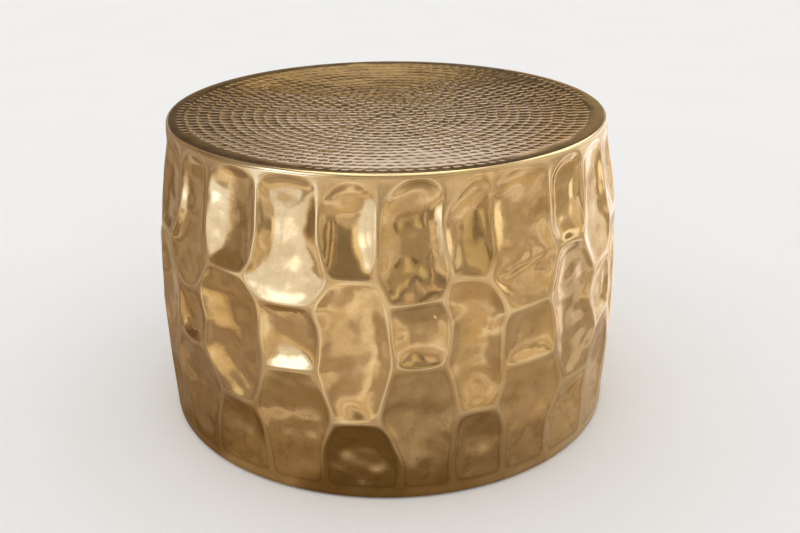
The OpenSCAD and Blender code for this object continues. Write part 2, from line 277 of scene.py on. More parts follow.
def dents(c, u, z):
    """Depth of the wall's surface under its ridges, and closeness to a ridge."""
    w = wrap(c)
    vl, vr = ridge(c, z), ridge(c + 1, z)
    ang = vl + (vr - vl) * u
    width = np.radians(vr - vl) * belly(z)
    lo, up = fold(c, 1, u), fold(c, 0, u)
    top = quad(u, *CROWN[w])
    bot = 9.0 + 0 * u
    k = np.where(z > up, 0, np.where(z > lo, 1, 2))
    z0 = np.where(k == 0, up, np.where(k == 1, lo, bot))
    z1 = np.where(k == 0, top, np.where(k == 1, up, lo))
    lx, lz = LEAN[w][k][..., 0], LEAN[w][k][..., 1]
    e = 1e-3
    dl, dr = np.maximum(u * width, e), np.maximum((1 - u) * width, e)
    db = np.maximum(z - z0, e) * np.where(k == 2, 0.45, 1.0)
    dt = np.maximum(z1 - z, e) * np.where(k == 0, 0.7, 1.0)
    q = (dl**-P_CORNER + dr**-P_CORNER + db**-P_CORNER + dt**-P_CORNER) ** (-1 / P_CORNER)
    faint = np.zeros_like(q)
    if w in (1, 2):                     # the weak upper ridge between these two
        d = (1 - u) * width if w == 1 else u * width
        faint = smooth(z, 306, 350) * np.exp(-(d / 15.0) ** 2)
    rho = 4.0 + 7.0 * faint
    q = np.sqrt(q * q + rho * rho) - rho
    side = 1 - (1 - np.clip(q / 14.0, 0, 1)) ** 2
    # the scoop: its deepest point drawn a little to one side
    x = 2 * u - 1
    x = (x - lx) / (1 - lx * x)
    v = np.clip((z - z0) / np.maximum(z1 - z0, 1.0), 0, 1)
    y = 2 * v - 1
    y = (y - lz) / (1 - lz * y)
    rise = np.abs(y) ** np.where(k == 1, 2.6, np.where(y > 0, 2.7, 2.05))
    ramp = smooth(v, 1.0, 0.62) * np.clip(v / 0.62, 0, 1) ** 1.15
    rise = np.where(k == 2, 1 - ramp, rise)
    bowl = (1 - np.abs(x) ** FLAT.get(w, 2.3)) * (1 - rise)
    deep = np.array(DEPTH[w])[k]
    s = np.where(k == 2, 0.24, 0.12)
    h = (deep + 1.2) * (s * side + (1 - s) * bowl)
    h = np.sqrt(h * h + 1.4**2) - 1.4 + 3.0 * faint * smooth(top - z, 4, 26)
    if w == 2:                          # a low crease across the wide facet
        zc = curve(ang, [23, 30, 38], [303, 316, 326])
        h = h - 1.6 * np.exp(-((z - zc) / 6.0) ** 2) * smooth(ang, 23.5, 27) * smooth(38.5, ang, ang + 3)
    wav = np.array(WAVY[w])[k] * np.where(k == 2, 1.5, 1.0)
    away = smooth(q, 0.5, 9.0)
    h = h + wav * ((0.25 + 0.75 * away) * waves(LONG_WAVES, ang, z)
                   + (0.12 + 0.88 * away) * waves(SHORT_WAVES, ang, z))
    ends = smooth(z, SHELL_TOP - 0.6, SHELL_TOP - 6.0) * smooth(z, 2.5, 8.0)
    near = np.exp(-(q / 1.9) ** 2) * (0.35 + 0.65 * smooth(z, 5.0, 12.0)) * (1 - faint)
    h = h * ends
    lim = room(z)
    h = np.where(h > 0, h * lim / (np.abs(h) ** 5 + lim**5) ** 0.2, h)
    return h, near, k


PER = 24                                # samples across a column
_us = np.array(spaced(0.0, 81.0, 1.25, 4.6, 1.34)) / 81.0
while len(_us) > PER:
    _us = np.delete(_us, len(_us) // 2)
while len(_us) < PER:
    g = np.diff(np.append(_us, 1.0))
    i = int(np.argmax(g))
    _us = np.insert(_us, i + 1, _us[i] + g[i] / 2)
ANCHORS = [0.0, 123.0, 188.0, 272.0, 312.0, SHELL_TOP]
_ts = []
for _a, _b2 in zip(ANCHORS[:-1], ANCHORS[1:]):
    _ts += spaced(_a, _b2, 1.3, 4.4, 1.34)
_ts = np.array(_ts + [SHELL_TOP])


def wall_rows(c, u, t):
    """Height of mesh row t at share u of column c."""
    ks = [np.full_like(u, WALL_BOT)] + [level(c, k, u) for k in range(4)] + [np.full_like(u, SHELL_TOP)]
    out = np.empty(np.broadcast(u, t).shape)
    for i in range(5):
        m = (t >= ANCHORS[i]) & (t <= ANCHORS[i + 1])
        f = (t - ANCHORS[i]) / (ANCHORS[i + 1] - ANCHORS[i])
        z = ks[i] + (ks[i + 1] - ks[i]) * f
        out = np.where(m, z, out)
    return out


def wall_grid(us, ts):
    """Angles, heights, radii, closeness to a ridge and facet of a grid."""
    cols = []
    for c in range(-5, 21):
        u, t = np.meshgrid(us, ts)
        z = wall_rows(c, u, t)
        d, near, k = dents(c, u, z)
        vl, vr = ridge(c, z), ridge(c + 1, z)
        cols.append((vl + (vr - vl) * u, z, belly(z) - d, near, (c + 5) * 3 + k))
    return [np.concatenate([col[i] for col in cols], axis=1) for i in range(5)]


def on_drum(a, z, r):
    a = np.radians(a)
    return np.stack([r * np.sin(a), -r * np.cos(a), z], -1)


def new_mesh(name, verts_mm, faces, sharp_deg=None):
    me = bpy.data.meshes.new(name)
    me.from_pydata((np.asarray(verts_mm) * MM).tolist(), [], faces)
    me.validate()
    me.update()
    me.shade_smooth()
    if sharp_deg is not None:
        me.set_sharp_from_angle(angle=math.radians(sharp_deg))
    ob = bpy.data.objects.new(name, me)
    bpy.context.scene.collection.objects.link(ob)
    return ob


def quads(r0, r1, n):
    """Quads between two closed rows of n points that start at r0 and r1."""
    i = np.arange(n)
    j = (i + 1) % n
    return np.stack([r0 + i, r0 + j, r1 + j, r1 + i], 1)


def add_attribute(ob, name, values):
    at = ob.data.attributes.new(name, "FLOAT", "POINT")
    at.data.foreach_set("value", np.asarray(values, np.float32))


def build_wall():
    a, z, r, near, cell = wall_grid(_us, _ts)
    n = a.shape[1]
    rows = a.shape[0]
    rows_xyz = [on_drum(a[i], z[i], r[i]) for i in range(rows)]
    hollow = [np.clip((belly(z[i]) - r[i]) / 7.0, 0, 1.3) for i in range(rows)]
    crest = [near[i] for i in range(rows)]
    # small rounded lips at both ends
    low = [on_drum(a[0], z[0] + 0 * a[0], r[0] - 1.5), on_drum(a[0], z[0] + 0.35, r[0] - 0.5)]
    rows_xyz[0] = on_drum(a[0], z[0] + 1.2, r[0])
    high = [on_drum(a[-1], z[-1] - 0.05, r[-1] - 0.35)]
    rows_xyz[-1] = on_drum(a[-1], z[-1] - 0.45, r[-1])
    rows_xyz = low + rows_xyz + high
    hollow = [hollow[0] + 1.0, hollow[0] + 0.6] + hollow + [hollow[-1] + 0.5]
    crest = [crest[0] * 0, crest[0] * 0] + crest + [crest[-1] * 0]
    faces = [quads(k * n, (k + 1) * n, n) for k in range(len(rows_xyz) - 1)]
    # inside, coarser
    step = 4
    ui = _us[::step]
    ti = np.array([0, 14, 40, 80, 123, 155, 188, 230, 272, 312, 355, 395, 420, SHELL_TOP])
    a2, z2, r2, _, _ = wall_grid(ui, ti)
    n2 = a2.shape[1]
    z2 = z2.copy()
    # the inside face stays clear of the two rings
    ring = np.where(z2 > 400, 309.9, np.where(z2 < 41, 328.9, 0.0))
    r_in = np.minimum(np.maximum(r2 - WALL_T, ring), r2 - 0.4)
    inner = [on_drum(a2[i], z2[i], r_in[i]) for i in range(len(ti))]
    base = len(rows_xyz) * n
    for k in range(len(ti) - 1):
        faces.append(quads(base + (k + 1) * n2, base + k * n2, n2))
    verts = np.concatenate([np.concatenate(rows_xyz), np.concatenate(inner)])
    hol = np.concatenate([np.concatenate(hollow), np.full(n2 * len(ti), 1.0)])
    cre = np.concatenate([np.concatenate(crest), np.zeros(n2 * len(ti))])
    face_list = np.concatenate(faces).tolist()
    top_o, top_i = (len(rows_xyz) - 1) * n, base + (len(ti) - 1) * n2
    for ends, flip in (((top_o, top_i), False), ((0, base), True)):
        o0, i0 = ends
        for i in range(n2):
            ii, ij = i0 + i, i0 + (i + 1) % n2
            o = [o0 + (i * step + k) % n for k in range(step + 1)]
            tri = [[ii, o[0], o[1]], [ii, o[1], o[2]], [ii, o[2], ij], [ij, o[2], o[3]], [ij, o[3], o[4]]]
            face_list += [t[::-1] for t in tri] if flip else tri
    verts[:, 1] = np.minimum(verts[:, 1], 342.42)       # no further back than the solid wall
    ob = new_mesh("drum_skin", verts, face_list, 40)
    add_attribute(ob, "hollow", hol)
    add_attribute(ob, "crest", cre)
    return ob


# --------------------------------------------------------------------------
# dished, hammered top
# --------------------------------------------------------------------------
FIELD_R = 304.0
CREST_R = TOP_R - EDGE_R
DISH = 13.5
PLATE_T = 2.5
EASE_R = 284.0           # outside this radius the dish eases into the flat band
_s1 = 2 * DISH * EASE_R / FIELD_R**2
EDGE_DIP = _s1 * (CREST_R - FIELD_R) ** 2 / (CREST_R - EASE_R) / 2


def dish(r):
    """Height of the top's unhammered face."""
    r = np.asarray(r, float)
    eased = H - _s1 * (CREST_R - r) ** 2 / (CREST_R - EASE_R) / 2
    inner = H - _s1 * (CREST_R - EASE_R) / 2 - DISH * (EASE_R**2 - r * r) / FIELD_R**2
    return np.where(r > EASE_R, eased, inner)


def underside(r):
    return H - 0.355 - DISH * (1 - (np.asarray(r, float) / FIELD_R) ** 2) - PLATE_T


# radii of the lands between the rings of hammer marks
LANDS = [0.0, 13.7, 28.6, 43.2, 57.8, 72.6, 87.6, 102.6, 117.4, 132.5, 147.6, 162.9, 178.4, 193.8, 209.6, 225.6,
         241.8, 258.0, 274.4, 290.6, FIELD_R]
STEP_C = 8                              # mesh columns per mark
ROWS = 8                                # mesh rows per ring


def hammer_rings():
    """Centres, sizes and depths of the marks, ring by ring."""
    g = np.random.default_rng(7)
    rings = []
    for i in range(1, len(LANDS)):
        r_in, r_out = LANDS[i - 1], LANDS[i]
        r = (r_in + r_out) / 2 if i > 1 else 0.0
        if i == len(LANDS) - 1:
            r = 297.3
        n = 1 if i == 1 else int(round(2 * math.pi * r / 15.05))
        step = 2 * math.pi / n
        start = math.radians(-85) + step * g.uniform(-0.1, 0.1)
        th = start + step * (np.arange(n) + np.clip(g.normal(0, 0.06, n), -0.15, 0.15))
        size = g.uniform(0.9, 1.06, n)
        deep = 0.70 * g.uniform(0.72, 1.2, n)
        if i == len(LANDS) - 1:         # the last ring was only struck in places
            a = (np.degrees(th) + 180) % 360 - 180
            there = (smooth(a, -108, -96) * smooth(a, -60, -68) + smooth(a, -22, -12) * smooth(a, 34, 20)
                     + smooth(a, 96, 104) * smooth(a, 142, 130))
            size = size * 0.66
            deep = deep * 0.62 * there
        else:                           # and the front was struck lightly
            x, y = r * np.sin(th), -r * np.cos(th)
            deep = deep * (1 - 0.72 * np.exp(-((x - 48) / 95) ** 2 - ((y + 246) / 48) ** 2))
            deep = deep * (1 - 0.52 * smooth(y + 0.28 * x, 30, 95) * smooth(x, 150, -10)) \
                * (1 - 0.62 * smooth(y, 100, 210))
        rings.append(dict(r=r, r_in=r_in, r_out=r_out, n=n, step=step, start=start, th=th,
                          rc=r + g.normal(0, 0.5, n), a=7.45 * size, b=(r_out - r_in) / 2 * 1.02 * size,
                          d=deep, tilt=g.normal(0, 0.028, (n, 2))))
    rings[0].update(a=np.array([9.5]), b=np.array([9.5]), d=np.array([0.6]), rc=np.array([0.0]))
    rings[-1]["b"] = rings[-1]["b"] * 0 + 4.6
    return rings


MARKS = hammer_rings()
_g = np.random.default_rng(11)
SHEET = [(2 * np.pi / lam, d, ph, 0.010 * (lam / 30) ** 1.35) for lam, d, ph in
         zip(_g.uniform(26, 95, 20), _g.uniform(0, 2 * np.pi, 20), _g.uniform(0, 2 * np.pi, 20))]


def sheet(x, y):
    """The slight unevenness of the struck sheet."""
    r = np.hypot(x, y)
    out = np.zeros_like(r)
    for k, d, ph, amp in SHEET:
        out += amp * np.cos(k * (x * math.cos(d) + y * math.sin(d)) + ph)
    return out * smooth(r, 302, 288)


def mark_cut(ring, r, th):
    """Depth of the marks of one ring at the given points."""
    best = np.zeros_like(r)
    for shift in (-1, 0, 1):
        k = np.mod(np.round((th - ring["start"]) / ring["step"]).astype(int) + shift, ring["n"])
        off = np.mod(th - ring["th"][k] + math.pi, 2 * math.pi) - math.pi
        if ring["n"] == 1:
            ex, ey = r * np.sin(th), r * np.cos(th)
        else:
            ex, ey = off * np.maximum(r, 1.0), r - ring["rc"][k]
        s2 = (np.abs(ex) / ring["a"][k]) ** 2.5 + (np.abs(ey) / ring["b"][k]) ** 2.9
        f = ring["d"][k] * np.clip(1 - s2, 0, 1) ** 1.08 \
            * (1 + ring["tilt"][k, 0] * ex + ring["tilt"][k, 1] * ey)
        best = np.maximum(best, f)
        if ring["n"] == 1:
            break
    return best


def zip_rows(a_in, i0, a_out, o0):
    """Triangles between two closed rows of points with different counts."""
    tris = []
    n, m = len(a_in), len(a_out)
    i, o = 0, int(np.argmin(np.abs(np.mod(a_out - a_in[0] + np.pi, 2 * np.pi) - np.pi)))
    ai = a_in - a_in[0]
    ao = np.mod(np.roll(a_out, -o) - a_out[o], 2 * np.pi)
    ao = ao + (np.mod(a_out[o] - a_in[0] + np.pi, 2 * np.pi) - np.pi)
    ai = np.append(ai, ai[0] + 2 * np.pi)
    ao = np.append(ao, ao[0] + 2 * np.pi)
    p = q = 0
    while p < n or q < m:
        if q >= m or (p < n and ai[p + 1] < ao[q + 1]):
            tris.append((i0 + p % n, o0 + (o + q) % m, i0 + (p + 1) % n))
            p += 1
        else:
            tris.append((i0 + p % n, o0 + (o + q) % m, o0 + (o + q + 1) % m))
            q += 1
    return tris


def build_field():
    pts, cuts, faces = [np.zeros((1, 2))], [np.zeros(1)], []
    count = 1
    prev = None
    for i, ring in enumerate(MARKS):
        last = i == len(MARKS) - 1
        if i == 0:
            th = 2 * np.pi * np.arange(24) / 24
            rows = np.linspace(1.8, ring["r_out"] - 0.6, ROWS)
        else:
            cen = ring["th"]
            nxt = np.append(cen[1:], cen[0] + 2 * np.pi)
            f = (np.arange(STEP_C) / STEP_C)[None]
            th = (cen[:, None] + (nxt - cen)[:, None] * f).ravel()
            rows = np.linspace(ring["r_in"] + 0.6, ring["r_out"] - (0.0 if last else 0.6), ROWS + 1)
            if last:
                rows = np.append(rows[:-1], [rows[-1] - 0.5, rows[-1]])
        n = len(th)
        t, r = np.meshgrid(th, rows)
        if i == 0:
            faces += [(0, count + j, count + (j + 1) % n) for j in range(n)]
        else:
            faces += zip_rows(prev[0], prev[1], th, count)
        cut = mark_cut(ring, r.ravel(), t.ravel())
        if last:
            cut = cut * smooth(r.ravel(), FIELD_R, FIELD_R - 1.5)
        pts.append(np.stack([(r * np.sin(t)).ravel(), (-r * np.cos(t)).ravel()], 1))
        cuts.append(cut)
        for k in range(len(rows) - 1):
            faces += quads(count + (k + 1) * n, count + k * n, n).tolist()
        prev = (th, count + (len(rows) - 1) * n)
        count += n * len(rows)
    xy, cut = np.concatenate(pts), np.concatenate(cuts)
    cut[0] = MARKS[0]["d"][0]
    r = np.hypot(xy[:, 0], xy[:, 1])
    top = np.column_stack([xy, dish(r) + sheet(xy[:, 0], xy[:, 1]) - cut])
    # underside: coarse and smooth
    th, edge0 = prev
    n = len(th)
    base = len(top)
    under = [np.stack([FIELD_R * np.sin(th), -FIELD_R * np.cos(th), np.full(n, underside(FIELD_R))], 1)]
    faces += quads(edge0, base, n)[:, ::-1].tolist()
    nb = n // 4
    ring0 = base + n
    for rr in (280.0, 240.0, 195.0, 150.0, 105.0, 60.0, 20.0):
        tb = th[::4]
        under.append(np.stack([rr * np.sin(tb), -rr * np.cos(tb), np.full(nb, underside(rr))], 1))
    for i in range(nb):
        o = [base + (4 * i + k) % n for k in range(5)]
        a, b = ring0 + i, ring0 + (i + 1) % nb
        faces += [(o[0], a, o[1]), (o[1], a, o[2]), (o[2], a, b), (o[2], b, o[3]), (o[3], b, o[4])]
    for k in range(6):
        faces += quads(ring0 + k * nb, ring0 + (k + 1) * nb, nb)[:, ::-1].tolist()
    centre = ring0 + 7 * nb
    under.append(np.array([[0, 0, float(underside(0))]]))
    faces += [(ring0 + 6 * nb + i, centre, ring0 + 6 * nb + (i + 1) % nb) for i in range(nb)]
    verts = np.concatenate([top] + under)
    ob = new_mesh("hammered_field", verts, faces, 50)
    add_attribute(ob, "mark", np.concatenate([cut, np.zeros(len(verts) - len(top))]))
    add_attribute(ob, "edge", np.zeros(len(verts)))
    return ob


def build_rim():
    """Plain band and rolled edge, turned round the axis."""
    run = CREST_R - FIELD_R
    z0 = float(dish(FIELD_R))
    prof = [(FIELD_R + run * f, z0 + EDGE_DIP * f * (2 - f)) for f in (0.0, 0.06, 0.25, 0.5, 0.75)]
    prof += [(CREST_R + EDGE_R * math.sin(x), SHELL_TOP + EDGE_R * math.cos(x))
             for x in np.radians(np.linspace(0, 90, 21))]
    prof += [(TOP_R, SHELL_TOP + 0.35), (TOP_R - 0.25, SHELL_TOP + 0.05), (TOP_R - 1.0, SHELL_TOP + 0.03),
             (TOP_R - PLATE_T, SHELL_TOP + 0.05)]
    bend = EDGE_R - PLATE_T
    prof += [(CREST_R + bend * math.cos(x), SHELL_TOP + bend * math.sin(x))
             for x in np.radians(np.linspace(15, 90, 7))]
    prof += [(FIELD_R, float(underside(FIELD_R)))]
    n = 960
    t = 2 * np.pi * np.arange(n) / n
    rows = [np.stack([r * np.sin(t), -r * np.cos(t), np.full(n, zz)], 1) for r, zz in prof]
    faces = np.concatenate([quads((k + 1) * n, k * n, n) for k in range(len(prof) - 1)]
                           + [quads(0, (len(prof) - 1) * n, n)])
    rim = new_mesh("rolled_edge", np.concatenate(rows), faces.tolist(), 42)
    add_attribute(rim, "mark", np.zeros(n * len(prof)))
    round_part = [smooth(float(np.hypot(r - CREST_R, max(zz - SHELL_TOP, 0))), EDGE_R - 0.4, EDGE_R - 0.05)
                  * smooth(r, CREST_R - 0.3, CREST_R + 1.6) for r, zz in prof]
    add_attribute(rim, "edge", np.repeat(round_part, n))
    return rim


# --------------------------------------------------------------------------
# node helpers
# --------------------------------------------------------------------------
class Nodes:
    def __init__(self, tree):
        self.t = tree
        tree.nodes.clear()

    def new(self, kind, **props):
        n = self.t.nodes.new(kind)
        for k, v in props.items():
            setattr(n, k, v)
        return n

    def link(self, a, b):
        self.t.links.new(a, b)

    def put(self, socket, value):
        if isinstance(value, bpy.types.NodeSocket):
            self.link(value, socket)
        else:
            socket.default_value = value

    def m(self, op, *args):
        n = self.new("ShaderNodeMath", operation=op)
        for i, a in enumerate(args):
            self.put(n.inputs[i], a)
        return n.outputs[0]

    def vm(self, op, *args):
        n = self.new("ShaderNodeVectorMath", operation=op)
        for i, a in enumerate(args):
            self.put(n.inputs[i], a)
        return n.outputs["Value"] if op in ("DOT_PRODUCT", "LENGTH", "DISTANCE") else n.outputs["Vector"]

    def step(self, x, a, b):
        """Smooth step of x from 0 at a to 1 at b."""
        n = self.new("ShaderNodeMapRange", interpolation_type="SMOOTHSTEP")
        self.put(n.inputs["Value"], x)
        for k, v in (("From Min", a), ("From Max", b), ("To Min", 0.0), ("To Max", 1.0)):
            self.put(n.inputs[k], v)
        return n.outputs["Result"]

    def lin(self, x, a, b, c, d):
        n = self.new("ShaderNodeMapRange", interpolation_type="LINEAR")
        self.put(n.inputs["Value"], x)
        for k, v in (("From Min", a), ("From Max", b), ("To Min", c), ("To Max", d)):
            self.put(n.inputs[k], v)
        return n.outputs["Result"]

    def mix(self, f, a, b):
        n = self.new("ShaderNodeMix", data_type="RGBA")
        self.put(n.inputs[0], f)
        for s, v in ((n.inputs[6], a), (n.inputs[7], b)):
            self.put(s, v if isinstance(v, bpy.types.NodeSocket) else (*v, 1.0))
        return n.outputs[2]

    def noise(self, vec, scale, detail=3.0, rough=0.5, out="Fac"):
        n = self.new("ShaderNodeTexNoise")
        if vec is not None:
            self.put(n.inputs["Vector"], vec)
        n.inputs["Scale"].default_value = scale
        n.inputs["Detail"].default_value = detail
        n.inputs["Roughness"].default_value = rough
        return n.outputs[out]


def material(name):
    m = bpy.data.materials.new(name)
    m.use_nodes = True
    return m, Nodes(m.node_tree)


def finish_material(nt, shader):
    out = nt.new("ShaderNodeOutputMaterial")
    nt.link(shader, out.inputs["Surface"])


# --------------------------------------------------------------------------
# materials of the table
# --------------------------------------------------------------------------
def brass_wall():
    m, nt = material("brass_wall")
    co = nt.new("ShaderNodeTexCoord").outputs["Object"]
    hollow = nt.new("ShaderNodeAttribute", attribute_name="hollow").outputs["Fac"]
    crest = nt.new("ShaderNodeAttribute", attribute_name="crest").outputs["Fac"]
    big = nt.noise(co, 9.0, 2.0, 0.5)
    mid = nt.noise(co, 38.0, 3.0, 0.55)
    lumps = nt.noise(co, 78.0, 2.0, 0.45)
    fine = nt.noise(co, 420.0, 2.0, 0.5)
    blotch = nt.noise(co, 34.0, 3.0, 0.55)
    gold = nt.mix(nt.step(big, 0.35, 0.68), (0.81, 0.59, 0.32), (0.86, 0.655, 0.39))
    gold = nt.mix(nt.m("MULTIPLY", nt.step(blotch, 0.56, 0.38), 0.32), gold, (0.68, 0.465, 0.22))
    patina = nt.m("MULTIPLY", nt.step(mid, 0.50, 0.68), nt.lin(hollow, 0.2, 1.0, 0.06, 0.22))
    col = nt.mix(patina, gold, (0.50, 0.31, 0.13))
    # pale cream along the ridge crests: partly real polish wear, partly a painted highlight
    crest_wear_and_highlight = nt.m("MULTIPLY", crest, nt.lin(nt.noise(co, 13.0, 2.0, 0.5), 0.38, 0.62, 0.12, 0.75))
    # brown staining, with crisper edges and more of it low down
    xyz = nt.new("ShaderNodeSeparateXYZ")
    nt.link(co, xyz.inputs[0])
    low = nt.step(xyz.outputs[2], 0.190, 0.070)
    stain = nt.m("MULTIPLY", nt.step(nt.noise(co, 47.0, 5.0, 0.60), 0.53, 0.585), nt.lin(low, 0.0, 1.0, 0.13, 0.36))
    col = nt.mix(stain, col, (0.47, 0.33, 0.175))
    # sparse pits
    vor = nt.new("ShaderNodeTexVoronoi")
    vor.inputs["Scale"].default_value = 135.0
    nt.link(co, vor.inputs["Vector"])
    chosen = nt.new("ShaderNodeSeparateColor")
    nt.link(vor.outputs["Color"], chosen.inputs[0])
    pit = nt.m("MULTIPLY", nt.step(vor.outputs["Distance"], 0.17, 0.10), nt.step(chosen.outputs[0], 0.925, 0.935))
    pit = nt.m("MULTIPLY", pit, nt.lin(low, 0.0, 1.0, 0.45, 0.75))
    col = nt.mix(pit, col, (0.22, 0.15, 0.08))
    # painted shade: a darker line beside each ridge crest, stronger low down
    painted_flank_shade = nt.m("MULTIPLY", nt.step(crest, 0.0, 0.22), nt.step(crest, 0.62, 0.26))
    col = nt.mix(nt.m("MULTIPLY", painted_flank_shade, nt.lin(low, 0.0, 1.0, 0.30, 0.55)), col, (0.48, 0.32, 0.15))
    col = nt.mix(crest_wear_and_highlight, col, (0.96, 0.79, 0.53))
    b = nt.new("ShaderNodeBsdfPrincipled")
    nt.link(col, b.inputs["Base Color"])
    b.inputs["Metallic"].default_value = 1.0
    rough = nt.m("ADD", nt.lin(mid, 0.3, 0.75, 0.09, 0.16), nt.m("MULTIPLY", patina, 0.15))
    rough = nt.m("ADD", rough, nt.m("MULTIPLY", crest, 0.06))
    nt.link(rough, b.inputs["Roughness"])
    bump = nt.new("ShaderNodeBump")
    bump.inputs["Strength"].default_value = 0.24
    bump.inputs["Distance"].default_value = 0.0006
    hgt = nt.m("ADD", nt.m("MULTIPLY", lumps, 1.0), nt.m("MULTIPLY", fine, 0.008))
    nt.link(hgt, bump.inputs["Height"])
    nt.link(bump.outputs[0], b.inputs["Normal"])
    finish_material(nt, b.outputs[0])
    return m


def brass_top():
    m, nt = material("brass_top")
    co = nt.new("ShaderNodeTexCoord").outputs["Object"]
    mark = nt.new("ShaderNodeAttribute", attribute_name="mark").outputs["Fac"]
    big = nt.noise(co, 7.0, 2.0, 0.5)
    mid = nt.noise(co, 40.0, 3.0, 0.55)
    fine = nt.noise(co, 420.0, 2.0, 0.5)
    gold = nt.mix(nt.step(big, 0.35, 0.68), (0.74, 0.54, 0.29), (0.81, 0.62, 0.36))
    sp = nt.new("ShaderNodeSeparateXYZ")
    nt.link(co, sp.inputs[0])
    flat = nt.new("ShaderNodeCombineXYZ")
    nt.link(sp.outputs[0], flat.inputs[0])
    nt.link(sp.outputs[1], flat.inputs[1])
    # the flat lands between the marks are darkened as painted shade; the noise mottling mixed in with it is patina
    painted_land_shade = nt.m("MULTIPLY", nt.step(mark, 0.16, 0.0), nt.step(nt.vm("LENGTH", flat.outputs[0]), 0.304, 0.292))
    patina = nt.m("MAXIMUM", nt.m("MULTIPLY", nt.step(mid, 0.48, 0.74), 0.26), nt.m("MULTIPLY", painted_land_shade, 0.25))
    col = nt.mix(patina, gold, (0.40, 0.275, 0.145))
    # painted highlight: the rolled edge tinted pale cream
    edge = nt.new("ShaderNodeAttribute", attribute_name="edge").outputs["Fac"]
    col = nt.mix(nt.m("MULTIPLY", edge, 0.7), col, (0.93, 0.77, 0.51))
    b = nt.new("ShaderNodeBsdfPrincipled")
    nt.link(col, b.inputs["Base Color"])
    b.inputs["Metallic"].default_value = 1.0
    rough = nt.m("ADD", nt.lin(mid, 0.3, 0.75, 0.09, 0.17), nt.m("MULTIPLY", edge, 0.08))
    nt.link(rough, b.inputs["Roughness"])
    bump = nt.new("ShaderNodeBump")
    bump.inputs["Strength"].default_value = 0.12
    bump.inputs["Distance"].default_value = 0.0004
    nt.link(nt.m("ADD", mid, nt.m("MULTIPLY", fine, 0.12)), bump.inputs["Height"])
    nt.link(bump.outputs[0], b.inputs["Normal"])
    finish_material(nt, b.outputs[0])
    return m


def plain_metal(name, dark, light, rough_lo, rough_hi, scale=60.0, metallic=1.0, streak=1.0):
    m, nt = material(name)
    co = nt.new("ShaderNodeTexCoord").outputs["Object"]
    mp = nt.new("ShaderNodeMapping")
    nt.link(co, mp.inputs["Vector"])
    mp.inputs["Scale"].default_value = (1.0, 1.0, streak)
    n1 = nt.noise(mp.outputs[0], scale, 4.0, 0.6)
    n2 = nt.noise(co, scale * 7, 2.0, 0.5)
    b = nt.new("ShaderNodeBsdfPrincipled")
    nt.link(nt.mix(nt.step(n1, 0.3, 0.7), dark, light), b.inputs["Base Color"])
    b.inputs["Metallic"].default_value = metallic
    nt.link(nt.lin(n1, 0.25, 0.75, rough_lo, rough_hi), b.inputs["Roughness"])
    bump = nt.new("ShaderNodeBump")
    bump.inputs["Strength"].default_value = 0.25
    bump.inputs["Distance"].default_value = 0.0003
    nt.link(n2, bump.inputs["Height"])
    nt.link(bump.outputs[0], b.inputs["Normal"])
    finish_material(nt, b.outputs[0])
    return m


# --------------------------------------------------------------------------
# build the pieces
# --------------------------------------------------------------------------
wall = build_wall()
field = build_field()
rim = build_rim()
wall.data.materials.append(brass_wall())
top_mat = brass_top()
field.data.materials.append(top_mat)
rim.data.materials.append(top_mat)
for ob, node, slot in ((wall, "drum_wall", "brass_shell"), (field, "top_plate", "brass_top"),
                       (rim, "top_plate", "brass_top")):
    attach(ob, "root")
    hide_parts(node)

ring_mat = plain_metal("ring_metal", (0.50, 0.50, 0.51), (0.66, 0.66, 0.67), 0.28, 0.45, 40.0, 1.0, 6.0)
weld_mat = plain_metal("weld_metal", (0.22, 0.21, 0.20), (0.48, 0.47, 0.46), 0.4, 0.7, 400.0)
brace_mat = plain_metal("brace_coat", (0.012, 0.012, 0.013), (0.03, 0.03, 0.032), 0.38, 0.55, 500.0, 0.0)
zinc_mat = plain_metal("zinc_plate", (0.58, 0.59, 0.60), (0.80, 0.81, 0.83), 0.2, 0.38, 300.0)
rubber_mat = plain_metal("rubber", (0.012, 0.012, 0.012), (0.028, 0.027, 0.026), 0.6, 0.85, 350.0, 0.0)
for node, mat in {
    "top_ring": ring_mat, "base_ring": ring_mat, "top_ring_welds": weld_mat, "base_ring_welds": weld_mat,
    "brace_x": brace_mat, "brace_y": brace_mat, "brace_tabs": brace_mat, "brace_trims": rubber_mat,
    "plate_studs": zinc_mat, "plate_washers": zinc_mat, "plate_nuts": zinc_mat, "foot_pads": rubber_mat,
    "foot_screws": zinc_mat, "foot_washers": zinc_mat, "foot_nuts": zinc_mat,
}.items():
    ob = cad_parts[node]
    if not ob.data.materials:
        ob.data.materials.append(mat)
    for i in range(len(ob.data.materials)):
        ob.data.materials[i] = mat


# --------------------------------------------------------------------------
# camera, floor and light
# --------------------------------------------------------------------------
cam_data = bpy.data.cameras.new("camera")
cam_data.sensor_width = 36.0
cam_data.lens = 44.97
cam = bpy.data.objects.new("camera", cam_data)
bpy.context.scene.collection.objects.link(cam)
_pitch, _yaw, _roll = math.radians(23.525), math.radians(0.709), math.radians(-0.382)
_fw = np.array([math.sin(_yaw) * math.cos(_pitch), math.cos(_yaw) * math.cos(_pitch), -math.sin(_pitch)])
_rt = np.array([math.cos(_yaw), -math.sin(_yaw), 0.0])
_up = np.cross(_rt, _fw)
_r = _rt * math.cos(_roll) + _up * math.sin(_roll)
_u = -_rt * math.sin(_roll) + _up * math.cos(_roll)
from mathutils import Matrix
cam.matrix_world = Matrix(((_r[0], _u[0], -_fw[0], 0.0), (_r[1], _u[1], -_fw[1], -1.4281),
                           (_r[2], _u[2], -_fw[2], 0.8117), (0, 0, 0, 1)))
cam_data.clip_end = 100.0
bpy.context.scene.camera = cam


def disc(name, radius, z, n=96):
    me = bpy.data.meshes.new(name)
    t = [2 * math.pi * k / n for k in range(n)]
    me.from_pydata([(radius * math.cos(x), radius * math.sin(x), z) for x in t], [], [list(range(n))])
    ob = bpy.data.objects.new(name, me)
    bpy.context.scene.collection.objects.link(ob)
    return ob


